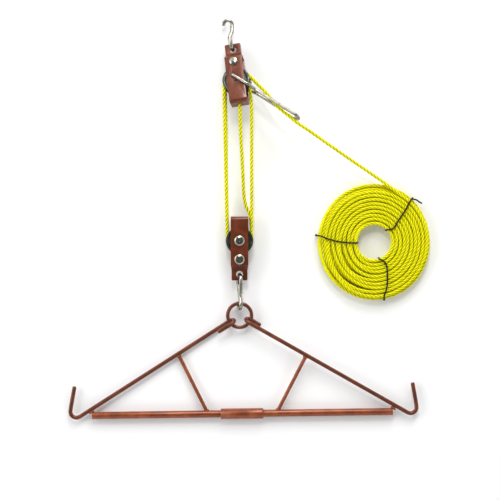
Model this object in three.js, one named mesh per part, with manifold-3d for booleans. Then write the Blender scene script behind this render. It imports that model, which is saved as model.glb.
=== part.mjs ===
// A gambrel hoist kit laid flat: two double-sheave blocks reeved four to one, their S-hooks,
// a rope-lock bail, a ring and a folding gambrel, and the hauling rope's coil beside them.
// Millimetres. X runs along the gambrel, Y from the gambrel up to the top hook, Z off the surface.
import * as THREE from "three";
import { mergeVertices } from "three/addons/utils/BufferGeometryUtils.js";
import Module from "manifold-3d";

const wasm = await Module();
wasm.setup();

// ---- driving dimensions ----
const GAP = 0.3; // kept between pieces that touch
const END_GAP = 0.6; // and between one length of rope and the next

const ROPE_RADIUS = 3.175;
const WIRE_RADIUS = 3.4; // the two S-hooks
const ROD_RADIUS = 3.55; // the gambrel's arms
const BRACE_RADIUS = 3.2;
const TUBE_RADIUS = 6.35;
const TUBE_BORE = 4.9;

// one block, seen in its own frame: axle at the origin along Z, hook end towards +Y
const STRAP_WIDTH = 30.3;
const STRAP_END_WIDTH = 27.4;
const STRAP_THICK = 3.2;
const LEG_INSIDE = 11.65; // half the gap between the legs
const LEG_OUTSIDE = LEG_INSIDE + STRAP_THICK;
const BRIDGE_Y = -41.9;
const BRIDGE_BEND = 6;
const PINCH_FROM_Y = 41.5; // the legs come together between these two
const PINCH_TO_Y = 50.5;
const STRAP_END_Y = 68.8;
const END_CORNER = 2;
const TIE_RIVET_Y = 32.3;
const HOOK_HOLE_Y = 58;
const HOOK_HOLE_RADIUS = 6;
const AXLE_RADIUS = 4;
const TIE_RADIUS = 3.3;
const HEAD_RADIUS = 9.2;
const HEAD_HEIGHT = 3.6;
const TAIL_RADIUS = 7;
const TAIL_HEIGHT = 2.4;
const SHEAVE_RADIUS = 23.8;
const SHEAVE_HALF_WIDTH = 5.3;
const SHEAVE_Z = 5.95; // front sheave at +, rear sheave at -
const PITCH_RADIUS = 21; // the rope's centre line on a sheave
const HUB_RADIUS = 9;
const WASHER_THICK = 0.7;
const KNOT_RADIUS = 5.5;
const KNOT_Y = -32.6;

const UPPER_AXLE = [-11, 237, 30.4];
const UPPER_TILT = THREE.MathUtils.degToRad(9); // its hook end leans to the left
const UPPER_YAW = THREE.MathUtils.degToRad(7.9); // its right side stands higher
const UPPER_PITCH = THREE.MathUtils.degToRad(15); // its hook end hangs lower than its bridge
const LOWER_AXLE = [-6.8, -37.3, LEG_OUTSIDE + GAP + TAIL_HEIGHT];
const HAUL_ANGLE = 37; // in degrees, where the hauling part leaves its sheave
const BRIDGED_ANGLE = -3; // and where the third span does

// rope-lock bail, in the upper block's frame
const BAIL_RADIUS = 2.7;
const BAIL_PIVOT = [-4.2, 7.6];
const BAIL_HEADING = THREE.MathUtils.degToRad(-42.4);
const BAIL_TWIST = THREE.MathUtils.degToRad(8);
const BAIL_LEG_Z = 18.05;
const BAIL_LENGTH = 129; // from the pivot to the middle of the round end
const BAIL_END_RADIUS = 8.5;

// ring and gambrel
const HOOK_TURN = THREE.MathUtils.degToRad(13); // how far the lower hook is from edge on
const HOOK_LOOP_RADIUS = 10.4;
const HOOK_END_LENGTH = 23; // below the middle of its upper loop
const RING_CENTRE = [-6.7, -167.1, 12.2];
const RING_RADIUS = 20.75;
const RING_WIRE_RADIUS = 3.15;
const EYE_RADIUS = 7.8; // centre line of the eye bent round the ring
const EYE_TILT = THREE.MathUtils.degToRad(20);
const ARM_Z = 9.3;
const HOOK_BEND_RADIUS = 10.6;
const HOOK_LEAN = THREE.MathUtils.degToRad(9.7);
const TUBE_LEFT = [-263, -341.3];
const TUBE_RIGHT = [259.5, -334.3];
const SIDES = {
  left: {
    sign: -1, eyeAngle: 217, bend: [-290.4, -334.4], tail: 26.5, brace: [-113.9, -61.4], point: 43,
  },
  right: { sign: 1, eyeAngle: -29.5, bend: [290.4, -326.6], tail: 20, brace: [109, 57.5], point: 42 },
};
const SLEEVE_LEFT_X = -39.6;
const SLEEVE_LENGTH = 74.5;
const SLEEVE_RADIUS = 9.25;
const SLEEVE_BORE = 7.2;
const TUBE_JOINT_GAP = 1.5; // room for the left half to swing clear of the sleeve's mouth

// the coil of hauling rope and its ties
const COIL_CENTRE = [226.7, -39.5];
const COIL_INNER = 28.4;
const COIL_OUTER = 101.5;
const COIL_BOTTOM = 1.6;
const COIL_TOP = 20.6;
const TIE_THICK = 1.2;
const TIE_CLEAR = 0.4;
const TIE_WIDTH = 3.4;
const TIE_ANGLES = { left: 176, upper: 45, lower: -76 };

// ---- materials ----
const paint = new THREE.MeshStandardMaterial({ color: 0x77412a, roughness: 0.45, metalness: 0.6 });
const zinc = new THREE.MeshStandardMaterial({ color: 0xb9bcb6, roughness: 0.3, metalness: 0.9 });
const steel = new THREE.MeshStandardMaterial({ color: 0x3a3f38, roughness: 0.5, metalness: 0.8 });
const rope = new THREE.MeshStandardMaterial({ color: 0xe2dc10, roughness: 0.7, metalness: 0 });
const tie = new THREE.MeshStandardMaterial({ color: 0x141414, roughness: 0.5, metalness: 0 });

// ---- shared helpers ----
const vec = (x, y, z) => new THREE.Vector3(x, y, z);

function solidOf(geometry) {
  const plain = geometry.clone();
  plain.deleteAttribute("normal");
  plain.deleteAttribute("uv");
  const merged = mergeVertices(plain, 1e-4);
  return new wasm.Manifold(new wasm.Mesh({
    numProp: 3,
    vertProperties: new Float32Array(merged.attributes.position.array),
    triVerts: new Uint32Array(merged.index.array),
  }));
}

function geometryOf(solid) {
  const mesh = solid.getMesh();
  const geometry = new THREE.BufferGeometry();
  geometry.setAttribute("position", new THREE.BufferAttribute(mesh.vertProperties, 3));
  geometry.setIndex(new THREE.BufferAttribute(mesh.triVerts, 1));
  geometry.computeVertexNormals();
  return geometry;
}

function cut(geometry, ...tools) {
  return geometryOf(tools.reduce((left, tool) => left.subtract(solidOf(tool)), solidOf(geometry)));
}

function tubeAlong(points, radius, steps, sides = 10) {
  const section = new THREE.Shape().absarc(0, 0, radius, 0, 2 * Math.PI);
  const extrudePath = new THREE.CatmullRomCurve3(points, false, "centripetal");
  return new THREE.ExtrudeGeometry(section, { steps, extrudePath, curveSegments: sides / 2 });
}

function cylinderBetween(start, end, radius, sides = 20) {
  const geometry = new THREE.CylinderGeometry(radius, radius, start.distanceTo(end), sides);
  const turn = new THREE.Quaternion().setFromUnitVectors(vec(0, 1, 0), end.clone().sub(start).normalize());
  return geometry.applyQuaternion(turn).translate(...start.clone().add(end).divideScalar(2).toArray());
}

function turned(profile, segments = 32) {
  const points = profile.map(([r, z]) => new THREE.Vector2(r, z));
  return new THREE.LatheGeometry(points, segments).rotateX(Math.PI / 2);
}

function arc(centre, a, b, radius, fromDeg, toDeg, count) {
  return Array.from({ length: count + 1 }, (_, i) => {
    const angle = THREE.MathUtils.degToRad(fromDeg + ((toDeg - fromDeg) * i) / count);
    return centre.clone()
      .addScaledVector(a, radius * Math.cos(angle))
      .addScaledVector(b, radius * Math.sin(angle));
  });
}

// draws the end of a line a little short, so that it stays clear of what it meets
function trimmed(points, start, end) {
  const out = points.map((p) => p.clone());
  const last = out.length - 1;
  out[0].add(out[1].clone().sub(out[0]).setLength(start));
  out[last].add(out[last - 1].clone().sub(out[last]).setLength(end));
  return out;
}

const group = new THREE.Group();

function add(parent, name, geometry, material) {
  const mesh = new THREE.Mesh(geometry, material);
  mesh.name = name;
  parent.add(mesh);
  return mesh;
}

// ---- the two block frames ----
const upper = new THREE.Group();
upper.position.set(...UPPER_AXLE);
upper.rotation.set(-UPPER_PITCH, -UPPER_YAW, UPPER_TILT, "ZYX");
upper.updateMatrixWorld(true);

const lower = new THREE.Group();
lower.position.set(...LOWER_AXLE);
lower.rotation.z = Math.PI;
lower.updateMatrixWorld(true);

group.add(upper, lower);

const fromUpper = (x, y, z) => vec(x, y, z).applyMatrix4(upper.matrixWorld);
const fromLower = (x, y, z) => vec(x, y, z).applyMatrix4(lower.matrixWorld);

// ---- block pieces, each in the block's own frame ----

// side view of the bent strap: rear leg, bridge, front leg, in (y, z)
function strapSide() {
  const slope = Math.atan2(LEG_INSIDE - GAP / 2, PINCH_TO_Y - PINCH_FROM_Y);
  const back = STRAP_THICK * Math.tan(slope / 2);
  const tip = GAP / 2 + STRAP_THICK;
  const shape = new THREE.Shape();
  const inner = BRIDGE_BEND - STRAP_THICK;
  const centre = BRIDGE_Y + BRIDGE_BEND;
  shape.moveTo(STRAP_END_Y, -tip);
  shape.lineTo(PINCH_TO_Y, -tip);
  shape.lineTo(PINCH_FROM_Y, -LEG_OUTSIDE);
  shape.lineTo(centre, -LEG_OUTSIDE);
  shape.absarc(centre, -LEG_OUTSIDE + BRIDGE_BEND, BRIDGE_BEND, -Math.PI / 2, -Math.PI, true);
  shape.absarc(centre, LEG_OUTSIDE - BRIDGE_BEND, BRIDGE_BEND, Math.PI, Math.PI / 2, true);
  shape.lineTo(PINCH_FROM_Y, LEG_OUTSIDE);
  shape.lineTo(PINCH_TO_Y, tip);
  shape.lineTo(STRAP_END_Y, tip);
  shape.lineTo(STRAP_END_Y, GAP / 2);
  shape.lineTo(PINCH_TO_Y - back, GAP / 2);
  shape.lineTo(PINCH_FROM_Y - back, LEG_INSIDE);
  shape.lineTo(centre, LEG_INSIDE);
  shape.absarc(centre, LEG_INSIDE - inner, inner, Math.PI / 2, Math.PI, false);
  shape.absarc(centre, -LEG_INSIDE + inner, inner, Math.PI, 1.5 * Math.PI, false);
  shape.lineTo(PINCH_FROM_Y - back, -LEG_INSIDE);
  shape.lineTo(PINCH_TO_Y - back, -GAP / 2);
  shape.lineTo(STRAP_END_Y, -GAP / 2);
  return shape;
}

// front view of the strap, narrower past the pinch and rounded at the hook end
function strapFront() {
  const wide = STRAP_WIDTH / 2;
  const slim = STRAP_END_WIDTH / 2;
  const shape = new THREE.Shape();
  shape.moveTo(-wide, BRIDGE_Y - 1);
  shape.lineTo(wide, BRIDGE_Y - 1);
  shape.lineTo(wide, PINCH_FROM_Y);
  shape.lineTo(slim, PINCH_TO_Y);
  shape.absarc(slim - END_CORNER, STRAP_END_Y - END_CORNER, END_CORNER, 0, Math.PI / 2, false);
  shape.absarc(-slim + END_CORNER, STRAP_END_Y - END_CORNER, END_CORNER, Math.PI / 2, Math.PI, false);
  shape.lineTo(-slim, PINCH_TO_Y);
  shape.lineTo(-wide, PINCH_FROM_Y);
  return shape;
}

function strap(withBail) {
  const bent = new THREE.ExtrudeGeometry(strapSide(), {
    depth: STRAP_WIDTH, bevelEnabled: false, curveSegments: 5,
  });
  bent.applyMatrix4(new THREE.Matrix4().makeBasis(vec(0, 1, 0), vec(0, 0, 1), vec(1, 0, 0)));
  bent.translate(-STRAP_WIDTH / 2, 0, 0);
  const outline = new THREE.ExtrudeGeometry(strapFront(), {
    depth: 4 * LEG_OUTSIDE, bevelEnabled: false, curveSegments: 4,
  });
  outline.translate(0, 0, -2 * LEG_OUTSIDE);
  const through = (x, y, radius) =>
    cylinderBetween(vec(x, y, -2 * LEG_OUTSIDE), vec(x, y, 2 * LEG_OUTSIDE), radius, 18);
  const holes = [
    through(0, 0, AXLE_RADIUS + GAP),
    through(0, TIE_RIVET_Y, TIE_RADIUS + GAP),
    through(0, HOOK_HOLE_Y, HOOK_HOLE_RADIUS),
  ];
  if (withBail) {
    holes.push(through(...BAIL_PIVOT, BAIL_RADIUS + GAP));
    holes.push(cylinderBetween(vec(0, BRIDGE_Y - 2, 0), vec(0, BRIDGE_Y + 6, 0), ROPE_RADIUS + 0.7, 18));
  }
  const shaped = geometryOf(solidOf(bent).intersect(solidOf(outline)));
  return cut(shaped, ...holes);
}

// a rivet with a domed head in front and a flat hammered tail behind
function rivet(shank) {
  const face = LEG_OUTSIDE + GAP;
  const dome = Array.from({ length: 7 }, (_, i) => {
    const angle = (i / 6) * (Math.PI / 2);
    return [HEAD_RADIUS * Math.cos(angle), face + 0.6 + (HEAD_HEIGHT - 0.6) * Math.sin(angle)];
  });
  dome[6][0] = 0;
  return turned([
    [0, -face - TAIL_HEIGHT],
    [TAIL_RADIUS - 0.5, -face - TAIL_HEIGHT],
    [TAIL_RADIUS, -face - TAIL_HEIGHT + 0.5],
    [TAIL_RADIUS, -face],
    [shank, -face],
    [shank, face],
    [HEAD_RADIUS, face],
    ...dome,
  ], 24);
}

// the upper axle is peened flush and painted over, because the bail's leg swings across its end
const flushAxle = () => turned([
  [0, -LEG_OUTSIDE],
  [AXLE_RADIUS, -LEG_OUTSIDE],
  [AXLE_RADIUS, LEG_OUTSIDE],
  [0, LEG_OUTSIDE],
], 24);

function sheave() {
  const groove = ROPE_RADIUS + GAP;
  const arcPoints = Array.from({ length: 7 }, (_, i) => {
    const angle = Math.PI * (i / 6);
    return [PITCH_RADIUS - groove * Math.sin(angle), -groove * Math.cos(angle)];
  });
  return turned([
    [AXLE_RADIUS + GAP, -SHEAVE_HALF_WIDTH],
    [HUB_RADIUS, -SHEAVE_HALF_WIDTH],
    [HUB_RADIUS + 1, -SHEAVE_HALF_WIDTH + 1],
    [SHEAVE_RADIUS - 5, -SHEAVE_HALF_WIDTH + 1],
    [SHEAVE_RADIUS - 4, -SHEAVE_HALF_WIDTH],
    [SHEAVE_RADIUS, -SHEAVE_HALF_WIDTH],
    [SHEAVE_RADIUS, -SHEAVE_HALF_WIDTH + 1],
    ...arcPoints,
    [SHEAVE_RADIUS, SHEAVE_HALF_WIDTH - 1],
    [SHEAVE_RADIUS, SHEAVE_HALF_WIDTH],
    [SHEAVE_RADIUS - 4, SHEAVE_HALF_WIDTH],
    [SHEAVE_RADIUS - 5, SHEAVE_HALF_WIDTH - 1],
    [HUB_RADIUS + 1, SHEAVE_HALF_WIDTH - 1],
    [HUB_RADIUS, SHEAVE_HALF_WIDTH],
    [AXLE_RADIUS + GAP, SHEAVE_HALF_WIDTH],
    [AXLE_RADIUS + GAP, -SHEAVE_HALF_WIDTH],
  ], 30);
}

const collar = (bore, outside, thick) => turned([
  [bore, -thick / 2],
  [outside, -thick / 2],
  [outside, thick / 2],
  [bore, thick / 2],
  [bore, -thick / 2],
], 24);

// rope lying on a sheave, between two angles in the block's frame
function wrap(z, fromDeg, toDeg) {
  const points = arc(vec(0, 0, z), vec(1, 0, 0), vec(0, 1, 0), PITCH_RADIUS, fromDeg, toDeg, 16);
  return tubeAlong(points, ROPE_RADIUS, 18);
}

function bailPoint(along, z, twist) {
  const side = z * Math.sin(BAIL_TWIST * twist);
  return vec(
    BAIL_PIVOT[0] + along * Math.cos(BAIL_HEADING) - side * Math.sin(BAIL_HEADING),
    BAIL_PIVOT[1] + along * Math.sin(BAIL_HEADING) + side * Math.cos(BAIL_HEADING),
    z * Math.cos(BAIL_TWIST * twist),
  );
}

// one wire: in through the strap, out along the face, pinched past the sheaves, and round the end
function bail() {
  const leg = [
    [0, LEG_INSIDE + 0.5, 0],
    [0, 15.6, 0],
    [1, 17.5, 0],
    [3.6, BAIL_LEG_Z, 0],
    [16, BAIL_LEG_Z, 0],
    [29, BAIL_LEG_Z, 0],
    [33, 17, 0.15],
    [37, 14.4, 0.4],
    [40.6, 10.2, 0.7],
    [45, 7.4, 0.9],
    [50, 6.5, 1],
    [75, 7, 1],
    [100, 7.7, 1],
    [120, 8.3, 1],
  ];
  const end = Array.from({ length: 9 }, (_, i) => {
    const angle = Math.PI * (i / 8);
    return [BAIL_LENGTH + BAIL_END_RADIUS * Math.sin(angle), BAIL_END_RADIUS * Math.cos(angle), 1];
  });
  const back = leg.toReversed().map(([along, z, twist]) => [along, -z, twist]);
  return tubeAlong([...leg, ...end, ...back].map((p) => bailPoint(...p)), BAIL_RADIUS, 110, 8);
}

function buildBlock(parent, name, withBail) {
  add(parent, `${name}_strap`, strap(withBail), paint);
  if (withBail) {
    add(parent, `${name}_axle`, flushAxle(), paint);
  } else {
    add(parent, `${name}_axle`, rivet(AXLE_RADIUS), zinc);
  }
  const tieRivet = add(parent, `${name}_tie_rivet`, rivet(TIE_RADIUS), zinc);
  tieRivet.position.y = TIE_RIVET_Y;
  tieRivet.rotation.x = withBail ? Math.PI : 0; // set from the other side
  const spacer = collar(TIE_RADIUS + GAP, 6, 2 * (LEG_INSIDE - GAP));
  add(parent, `${name}_tie_spacer`, spacer, steel).position.y = TIE_RIVET_Y;
  add(parent, `${name}_washer`, collar(AXLE_RADIUS + GAP, HUB_RADIUS, WASHER_THICK), zinc);
  add(parent, `${name}_front_sheave`, sheave(), steel).position.z = SHEAVE_Z;
  add(parent, `${name}_rear_sheave`, sheave(), steel).position.z = -SHEAVE_Z;
}

buildBlock(upper, "upper", true);
buildBlock(lower, "lower", false);

const tiltDeg = THREE.MathUtils.radToDeg(UPPER_TILT);
add(upper, "rope_lock_bail", bail(), zinc);
add(upper, "becket_knot", new THREE.SphereGeometry(KNOT_RADIUS, 16, 10), rope).position.y = KNOT_Y;
add(upper, "upper_front_wrap", wrap(SHEAVE_Z, 180 - tiltDeg, HAUL_ANGLE), rope);
add(upper, "upper_rear_wrap", wrap(-SHEAVE_Z, 180 - tiltDeg, BRIDGED_ANGLE), rope);
add(lower, "lower_front_wrap", wrap(SHEAVE_Z, 180, 0), rope);
add(lower, "lower_rear_wrap", wrap(-SHEAVE_Z, 180, 0), rope);

// ---- rope between the blocks ----
const onUpper = (deg, z) => fromUpper(
  PITCH_RADIUS * Math.cos(THREE.MathUtils.degToRad(deg)),
  PITCH_RADIUS * Math.sin(THREE.MathUtils.degToRad(deg)),
  z,
);
const lowerLeft = (z) => fromLower(PITCH_RADIUS, 0, z);
const lowerRight = (z) => fromLower(-PITCH_RADIUS, 0, z);
const span = (route) => tubeAlong(trimmed(route, END_GAP, END_GAP), ROPE_RADIUS, 28);

// straight off the upper sheave's groove, then down to the lower sheave
function leftRoute(z) {
  const clear = fromUpper(-23.2, -12.5, z);
  const low = lowerLeft(z);
  return [onUpper(180 - tiltDeg, z), clear, clear.clone().lerp(low, 0.12), low];
}

// from the knot, slack, past the lower block's bridge to its rear sheave
const becketRoute = [
  fromUpper(0, KNOT_Y - KNOT_RADIUS, 0),
  fromUpper(0, BRIDGE_Y - 1, 0),
  vec(-5.6, 180, 41.4),
  vec(-4.8, 150, 37),
  vec(-2.6, 110, 28.4),
  vec(-0.8, 72, 20.4),
  vec(0.6, 44, 15.6),
  vec(2.4, 31, 13.6),
  vec(6, 19, 12.8),
  vec(11, 9.4, 12.6),
  vec(12.6, 0, 12.2),
  vec(13.9, -18, 11.8),
  lowerRight(-SHEAVE_Z),
];
add(group, "span_1", span(becketRoute), rope);

// past the edge of the upper block's bridge, which bends it a little
const bridgedRoute = [
  onUpper(BRIDGED_ANGLE, -SHEAVE_Z),
  fromUpper(19.5, -30, -SHEAVE_Z),
  fromUpper(19.3, BRIDGE_Y, -SHEAVE_Z + 0.4),
  vec(14, 180, 36.8),
  lowerRight(SHEAVE_Z),
];
add(group, "span_2", span(leftRoute(-SHEAVE_Z)), rope);
add(group, "span_3", span(bridgedRoute), rope);
add(group, "span_4", span(leftRoute(SHEAVE_Z)), rope);

// ---- the hauling part: off its sheave, through the bail, and down to the coil ----
const haulingRoute = [
  onUpper(HAUL_ANGLE, SHEAVE_Z),
  fromUpper(24.6, 2.3, SHEAVE_Z),
  fromUpper(30.5, -5.5, 3.6),
  fromUpper(37, -14.2, 0.7),
  fromUpper(44, -23.8, 0),
  fromUpper(50.6, -33.4, 0),
  fromUpper(57.2, -45.6, 0),
  fromUpper(65.2, -59.4, -0.5),
  fromUpper(77.5, -73.4, -0.5),
  fromUpper(90.4, -88.9, -0.5),
  vec(106.8, 153.5, 58.5),
  vec(130, 138.3, 50),
  vec(155, 121.8, 41.2),
  vec(180, 105.4, 33),
  vec(210, 85.8, 24.6),
  vec(239, 66.6, 18.4),
];
add(group, "hauling_rope", tubeAlong(trimmed(haulingRoute, END_GAP, END_GAP), ROPE_RADIUS, 30), rope);

const coil = turned([
  [COIL_INNER, COIL_BOTTOM],
  [COIL_OUTER, COIL_BOTTOM],
  [COIL_OUTER, COIL_TOP],
  [COIL_INNER, COIL_TOP],
  [COIL_INNER, COIL_BOTTOM],
], 40);
add(group, "rope_coil", coil, rope).position.set(...COIL_CENTRE, 0);

// a tie wraps the coil's section: out along its top, down, and back underneath
function tieLoop() {
  const box = (extra) => {
    const inside = COIL_INNER - extra;
    const outside = COIL_OUTER + extra;
    return [[inside, COIL_BOTTOM - extra], [outside, COIL_BOTTOM - extra],
      [outside, COIL_TOP + extra], [inside, COIL_TOP + extra]];
  };
  const shape = new THREE.Shape(box(TIE_CLEAR + TIE_THICK).map((p) => new THREE.Vector2(...p)));
  shape.holes.push(new THREE.Path(box(TIE_CLEAR).map((p) => new THREE.Vector2(...p))));
  const loop = new THREE.ExtrudeGeometry(shape, { depth: TIE_WIDTH, bevelEnabled: false });
  return loop.translate(0, 0, -TIE_WIDTH / 2).rotateX(Math.PI / 2);
}

for (const [name, angle] of Object.entries(TIE_ANGLES)) {
  const loop = add(group, `coil_tie_${name}`, tieLoop(), tie);
  loop.position.set(...COIL_CENTRE, 0);
  loop.rotation.z = THREE.MathUtils.degToRad(angle);
}

// ---- hooks and ring ----

// the top hook: its lower loop passes through the strap, and its upper loop lies flat and opens left
function topHook() {
  const across = vec(-Math.sin(0.3), 0, Math.cos(0.3));
  const up = vec(-Math.sin(UPPER_TILT), Math.cos(UPPER_TILT), 0);
  const lowerLoop = arc(fromUpper(0, HOOK_HOLE_Y + 10.7, 0), across, up, 9.6, 172, 366, 14);
  const upperLoop = arc(vec(-27.3, 337.8, 12), vec(1, 0, 0), vec(0, 1, 0), 7.5, -10, 198, 12);
  return tubeAlong([...lowerLoop, vec(-24, 314, 20), vec(-20.2, 325, 15.4), ...upperLoop], WIRE_RADIUS, 62);
}
add(group, "top_hook", topHook(), zinc);

// an S-hook nearly edge on: its upper loop passes through the lower strap and ends in front,
// and its lower loop passes round the ring
function lowerHook() {
  const edge = vec(Math.sin(HOOK_TURN), 0, Math.cos(HOOK_TURN));
  const up = vec(0, 1, 0);
  const [x, y, z] = LOWER_AXLE;
  const top = vec(x, y - HOOK_HOLE_Y - 11.6, z);
  const bottom = vec(RING_CENTRE[0], -145.2, 14.6);
  const tip = top.clone().addScaledVector(edge, 10).addScaledVector(up, -HOOK_END_LENGTH);
  return tubeAlong([
    tip,
    ...arc(top, edge, up, HOOK_LOOP_RADIUS, 0, 195, 14),
    ...arc(bottom, edge, up, HOOK_LOOP_RADIUS, -15, -195, 14),
  ], WIRE_RADIUS, 66);
}
add(group, "lower_hook", lowerHook(), zinc);
const ring = new THREE.TorusGeometry(RING_RADIUS, RING_WIRE_RADIUS, 10, 44);
add(group, "hanging_ring", ring, paint).position.set(...RING_CENTRE);

// ---- gambrel ----
const ringCentre = vec(...RING_CENTRE);

// the arm's line: where it starts on its eye, and where it meets its hook's bend
function armLine(side) {
  const eye = THREE.MathUtils.degToRad(side.eyeAngle);
  const wire = ringCentre.clone().add(vec(Math.cos(eye), Math.sin(eye), 0).multiplyScalar(RING_RADIUS));
  const toBend = vec(side.bend[0] - wire.x, side.bend[1] - wire.y, 0);
  const heading = Math.atan2(toBend.y, toBend.x) - side.sign * Math.asin(HOOK_BEND_RADIUS / toBend.length());
  const along = vec(Math.cos(heading), Math.sin(heading), 0);
  const upward = vec(-along.y, along.x, 0).multiplyScalar(side.sign);
  // the right arm passes over the ring with its tail under it, and the left arm the other way
  const lift = vec(0, 0, side.sign * Math.cos(EYE_TILT)).addScaledVector(upward, -side.sign * Math.sin(EYE_TILT));
  const start = wire.clone().addScaledVector(lift, EYE_RADIUS);
  const bendCentre = vec(...side.bend, ARM_Z);
  const meets = bendCentre.clone().addScaledVector(vec(along.y, -along.x, 0), side.sign * HOOK_BEND_RADIUS);
  return { wire, along, lift, start, meets, bendCentre, heading };
}

function armPoints(side) {
  const { wire, along, lift, start, meets, bendCentre, heading } = armLine(side);
  const final = Math.PI / 2 + side.sign * HOOK_LEAN;
  const turn = side.sign > 0 ? final - heading : final - (heading + 2 * Math.PI);
  const bend = Array.from({ length: 9 }, (_, i) => {
    const angle = heading + (turn * i) / 8;
    return bendCentre.clone().addScaledVector(
      vec(Math.sin(angle), -Math.cos(angle), 0), side.sign * HOOK_BEND_RADIUS);
  });
  const tip = bend.at(-1).clone().addScaledVector(vec(Math.cos(final), Math.sin(final), 0), side.point);
  const eye = arc(wire, along.clone().negate(), lift, EYE_RADIUS, -90, 90, 8);
  const tailEnd = wire.clone().addScaledVector(lift, -EYE_RADIUS).addScaledVector(along, side.tail);
  const run = [0.03, 0.25, 0.5, 0.75, 0.97].map((t) => start.clone().lerp(meets, t));
  return [tailEnd, ...eye, ...run, ...bend, tip];
}

const tubeLeft = vec(...TUBE_LEFT, ARM_Z);
const tubeRight = vec(...TUBE_RIGHT, ARM_Z);
const tubeAxis = tubeRight.clone().sub(tubeLeft).normalize();
const onTube = (x) => tubeLeft.clone().addScaledVector(tubeAxis, (x - tubeLeft.x) / tubeAxis.x);

// a straight piece turned about the tube's axis, its profile measured from x along the axis
function onTubeAxis(profile, x) {
  const points = profile.map(([r, along]) => new THREE.Vector2(r, along));
  const turn = new THREE.Quaternion().setFromUnitVectors(vec(0, 1, 0), tubeAxis);
  const at = onTube(x);
  return new THREE.LatheGeometry(points, 28).applyQuaternion(turn).translate(at.x, at.y, at.z);
}

function hollow(fromX, toX, outside, bore) {
  const length = (toX - fromX) / tubeAxis.x;
  return onTubeAxis([[bore, 0], [outside, 0], [outside, length], [bore, length], [bore, 0]], fromX);
}

function solidBar(fromX, toX, radius) {
  const length = (toX - fromX) / tubeAxis.x;
  return onTubeAxis([[0, 0], [radius, 0], [radius, length], [0, length]], fromX);
}

function spreaderTube(side, armRod) {
  const left = side.sign < 0;
  const fromX = left ? TUBE_LEFT[0] : SLEEVE_LEFT_X;
  const toX = left ? SLEEVE_LEFT_X - TUBE_JOINT_GAP : TUBE_RIGHT[0];
  return cut(hollow(fromX, toX, TUBE_RADIUS, TUBE_BORE), armRod);
}

function brace(side, armRod, clearTube) {
  const { start, meets } = armLine(side);
  const top = start.clone().lerp(meets, (side.brace[0] - start.x) / (meets.x - start.x));
  return cut(cylinderBetween(top, onTube(side.brace[1]), BRACE_RADIUS, 12), armRod, clearTube);
}

for (const [name, side] of Object.entries(SIDES)) {
  const points = armPoints(side);
  const clearRod = tubeAlong(points, ROD_RADIUS + GAP, 100, 10);
  const clearTube = solidBar(TUBE_LEFT[0], TUBE_RIGHT[0], TUBE_RADIUS + GAP);
  add(group, `${name}_arm`, tubeAlong(points, ROD_RADIUS, 100, 8), paint);
  add(group, `${name}_tube`, spreaderTube(side, clearRod), paint);
  add(group, `${name}_brace`, brace(side, clearRod, clearTube), paint);
}

// plain cut on the left, rolled in at the right
const rolled = 3;
const sleeve = onTubeAxis([
  [SLEEVE_BORE, 0],
  [SLEEVE_RADIUS, 0],
  [SLEEVE_RADIUS, SLEEVE_LENGTH - rolled],
  [SLEEVE_RADIUS - 0.5, SLEEVE_LENGTH - 1.2],
  [SLEEVE_RADIUS - 1.6, SLEEVE_LENGTH],
  [SLEEVE_BORE, SLEEVE_LENGTH],
  [SLEEVE_BORE, 0],
], SLEEVE_LEFT_X);
add(group, "lock_sleeve", sleeve, paint);

export default group;
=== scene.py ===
"""Looks of the gambrel hoist kit, laid flat: +Y up the rope, +X to the right hook, metres."""
import math

import bmesh
import bpy
import numpy as np
from mathutils import Matrix, Vector, noise


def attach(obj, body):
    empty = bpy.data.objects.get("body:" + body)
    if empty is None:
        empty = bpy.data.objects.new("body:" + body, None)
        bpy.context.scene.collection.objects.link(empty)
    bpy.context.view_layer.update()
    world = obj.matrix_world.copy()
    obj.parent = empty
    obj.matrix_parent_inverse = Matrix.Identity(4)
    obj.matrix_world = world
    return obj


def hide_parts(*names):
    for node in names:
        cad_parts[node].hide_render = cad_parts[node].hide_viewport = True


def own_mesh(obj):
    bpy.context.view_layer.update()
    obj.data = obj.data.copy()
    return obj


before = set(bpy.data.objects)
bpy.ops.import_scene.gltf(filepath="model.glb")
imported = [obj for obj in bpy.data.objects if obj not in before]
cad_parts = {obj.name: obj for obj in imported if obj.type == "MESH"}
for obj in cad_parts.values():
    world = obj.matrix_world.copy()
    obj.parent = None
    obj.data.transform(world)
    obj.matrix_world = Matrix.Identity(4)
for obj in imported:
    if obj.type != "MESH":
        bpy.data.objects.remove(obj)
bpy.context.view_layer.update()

MM = 0.001

# ---- driving dimensions, as in the CAD, in millimetres ----
ROPE_RADIUS = 3.175
ROPE_LAY = 22.3
STRAND_RADIUS = 1.67
STRAND_SIDES = 7
ROPE_STEP = 2.25
WIRE_RADIUS = 3.4
ROD_RADIUS = 3.55
BRACE_RADIUS = 3.2
SHEAVE_Z = 5.95
PITCH_RADIUS = 21.0
BRIDGE_Y = -41.9
TIE_RIVET_Y = 32.3
HOOK_HOLE_Y = 58.0
LEG_OUTSIDE = 14.85
KNOT_Y = -32.6
HAUL_ANGLE = 37.0
BRIDGED_ANGLE = -3.0

UPPER_AXLE = (-11.0, 237.0, 30.4)
UPPER_TILT = 9.0
UPPER_YAW = 7.9
UPPER_PITCH = 15.0
LOWER_AXLE = (-6.8, -37.3, 17.55)

BAIL_RADIUS = 2.7
BAIL_PIVOT = (-4.2, 7.6)
BAIL_HEADING = -42.4
BAIL_TWIST = 8.0
BAIL_LENGTH = 129.0
BAIL_END_RADIUS = 8.5

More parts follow.
